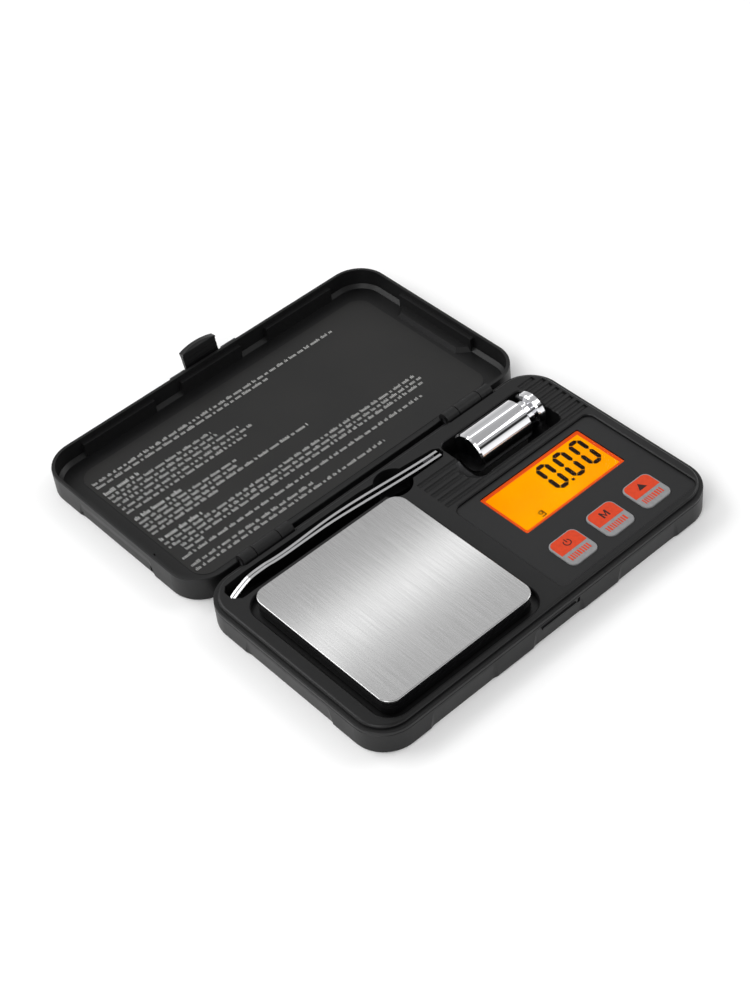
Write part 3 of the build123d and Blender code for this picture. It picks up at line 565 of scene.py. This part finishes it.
def make_label_print():
    low, high = corners("lid_label")
    face = high.z
    picker = random.Random(7)
    bm = bmesh.new()
    for paragraph in PARAGRAPHS:
        for distance, indent, length, heading in paragraph:
            start = low.x + (TEXT_LEFT + indent) * MM
            base = low.y + (distance + LINE_SHIFT) * MM
            tall, stroke = HEADING if heading else BODY_TEXT
            print_line(bm, picker, start, start + length * MM, base, tall, stroke, face, face + PRINT_T)
    text = finish_mesh(bm, "label_text")
    mesh_object("label_text", text, MATERIALS["white_ink"], "lid")


# ---------------------------------------------------------------- camera, light, floor
CAMERA_TURN = (-37.35, 44.88, -6.90)     # azimuth, elevation and roll, degrees
CAMERA_OFFSET = (-24.3, 16.4, 546.0)     # sideways, upwards and back from the origin, mm
CAMERA_LENS = 71.2


def make_camera():
    """Camera at the three-quarter view: turned, raised, rolled, and off the origin."""
    azimuth, elevation, roll = [math.radians(angle) for angle in CAMERA_TURN]
    back = Vector((math.sin(azimuth) * math.cos(elevation), -math.cos(azimuth) * math.cos(elevation),
                   math.sin(elevation)))
    right = Vector((math.cos(azimuth), math.sin(azimuth), 0))
    up = back.cross(right)
    side = right * math.cos(roll) + up * math.sin(roll)
    head = up * math.cos(roll) - right * math.sin(roll)
    data = bpy.data.cameras.new("camera")
    data.sensor_width = 36.0
    data.lens = CAMERA_LENS
    data.clip_start = 0.01
    camera = bpy.data.objects.new("camera", data)
    bpy.context.collection.objects.link(camera)
    turn = Matrix((side, head, back)).transposed().to_4x4()
    place = (side * CAMERA_OFFSET[0] + head * CAMERA_OFFSET[1] + back * CAMERA_OFFSET[2]) * MM
    camera.matrix_world = Matrix.Translation(place) @ turn
    bpy.context.scene.camera = camera


def soft_light(name, place, target, size, power, along):
    """Rectangular lamp facing its target, its width running as near as it can to `along`."""
    away = (Vector(place) - Vector(target)).normalized()
    up = away.cross(Vector(along)).normalized()
    side = up.cross(away)
    data = bpy.data.lights.new(name, "AREA")
    data.shape = "RECTANGLE"
    data.size, data.size_y = size
    data.energy = power
    light = bpy.data.objects.new(name, data)
    bpy.context.collection.objects.link(light)
    turn = Matrix((side, up, away)).transposed().to_4x4()
    light.matrix_world = Matrix.Translation(place) @ turn
    light.visible_camera = False


# Brightness of the studio round the X axis: degrees above the front horizon, level.
SKY_BANDS = ((0, 0.8), (20, 0.7), (29, 0.5), (33, 0.02), (43, 0.02), (47, 0.26), (100, 0.3), (112, 0.36),
             (118, 0.62), (126, 0.42), (150, 0.34), (180, 0.5))
SKY_STRENGTH = 1.6
PLATE_GLANCE = Vector((0.43, 0.51, 0.71))   # way from the plate to the strip it mirrors
STRIP_DISTANCE = 0.24


def make_studio():
    """Soft boxes in front and behind, a grey ceiling, and a dark gap above the front box."""
    world = bpy.data.worlds.new("studio")
    world.use_nodes = True
    tree = world.node_tree
    background = tree.nodes["Background"]
    background.inputs["Strength"].default_value = SKY_STRENGTH
    way = tree.nodes.new("ShaderNodeTexCoord").outputs["Generated"]
    split = tree.nodes.new("ShaderNodeSeparateXYZ")
    tree.links.new(way, split.inputs["Vector"])
    front = tree.nodes.new("ShaderNodeMath")
    front.operation = "MULTIPLY"
    front.inputs[1].default_value = -1.0
    tree.links.new(split.outputs["Y"], front.inputs[0])
    angle = tree.nodes.new("ShaderNodeMath")
    angle.operation = "ARCTAN2"
    tree.links.new(split.outputs["Z"], angle.inputs[0])
    tree.links.new(front.outputs[0], angle.inputs[1])
    share = tree.nodes.new("ShaderNodeMath")
    share.operation = "DIVIDE"
    share.inputs[1].default_value = math.pi
    tree.links.new(angle.outputs[0], share.inputs[0])
    ramp = tree.nodes.new("ShaderNodeValToRGB")
    elements = ramp.color_ramp.elements
    while len(elements) < len(SKY_BANDS):
        elements.new(0.5)
    for element, (degrees, level) in zip(elements, SKY_BANDS):
        element.position = degrees / 180
        element.color = (level, level, level, 1)
    tree.links.new(share.outputs[0], ramp.inputs["Fac"])
    tree.links.new(ramp.outputs["Color"], background.inputs["Color"])
    bpy.context.scene.world = world
    bpy.context.scene.view_settings.view_transform = "Standard"
    centre = (0, 0.03, 0)
    soft_light("back_box", (-0.45, 0.75, 0.75), centre, (0.9, 0.5), 5.5, (1, 0.5, 0))
    soft_light("left_box", (-0.9, -0.3, 0.7), centre, (0.6, 0.8), 5.5, (0, 1, 0))
    soft_light("right_box", (0.9, -0.25, 0.7), centre, (0.6, 0.8), 3.5, (0, 1, 0))
    plate = middle("platform_plate")
    strip = plate + PLATE_GLANCE * STRIP_DISTANCE
    soft_light("plate_strip", strip, plate, (0.25, 0.015), 0.02, (1, 0, 0))


def make_floor():
    bm = bmesh.new()
    span = 3.0
    bmesh.ops.create_grid(bm, x_segments=1, y_segments=1, size=span)
    bmesh.ops.translate(bm, verts=bm.verts, vec=(0, 0, CAD_BOX[0][2] - 0.02 * MM))
    mesh = bpy.data.meshes.new("floor")
    bm.to_mesh(mesh)
    bm.free()
    floor = bpy.data.objects.new("floor", mesh)
    bpy.context.collection.objects.link(floor)
    n = Nodes("floor_paint")
    n.link(n.ramp(n.noise(2.0), [(0.3, (0.96, 0.96, 0.96)), (0.7, (0.98, 0.98, 0.98))]),
           n.shader.inputs["Base Color"])
    n.set(Roughness=0.8)
    mesh.materials.append(n.material)


# ---------------------------------------------------------------- build
dress_nodes()
make_display()
make_keys()
make_label_print()
make_floor()
make_studio()
make_camera()
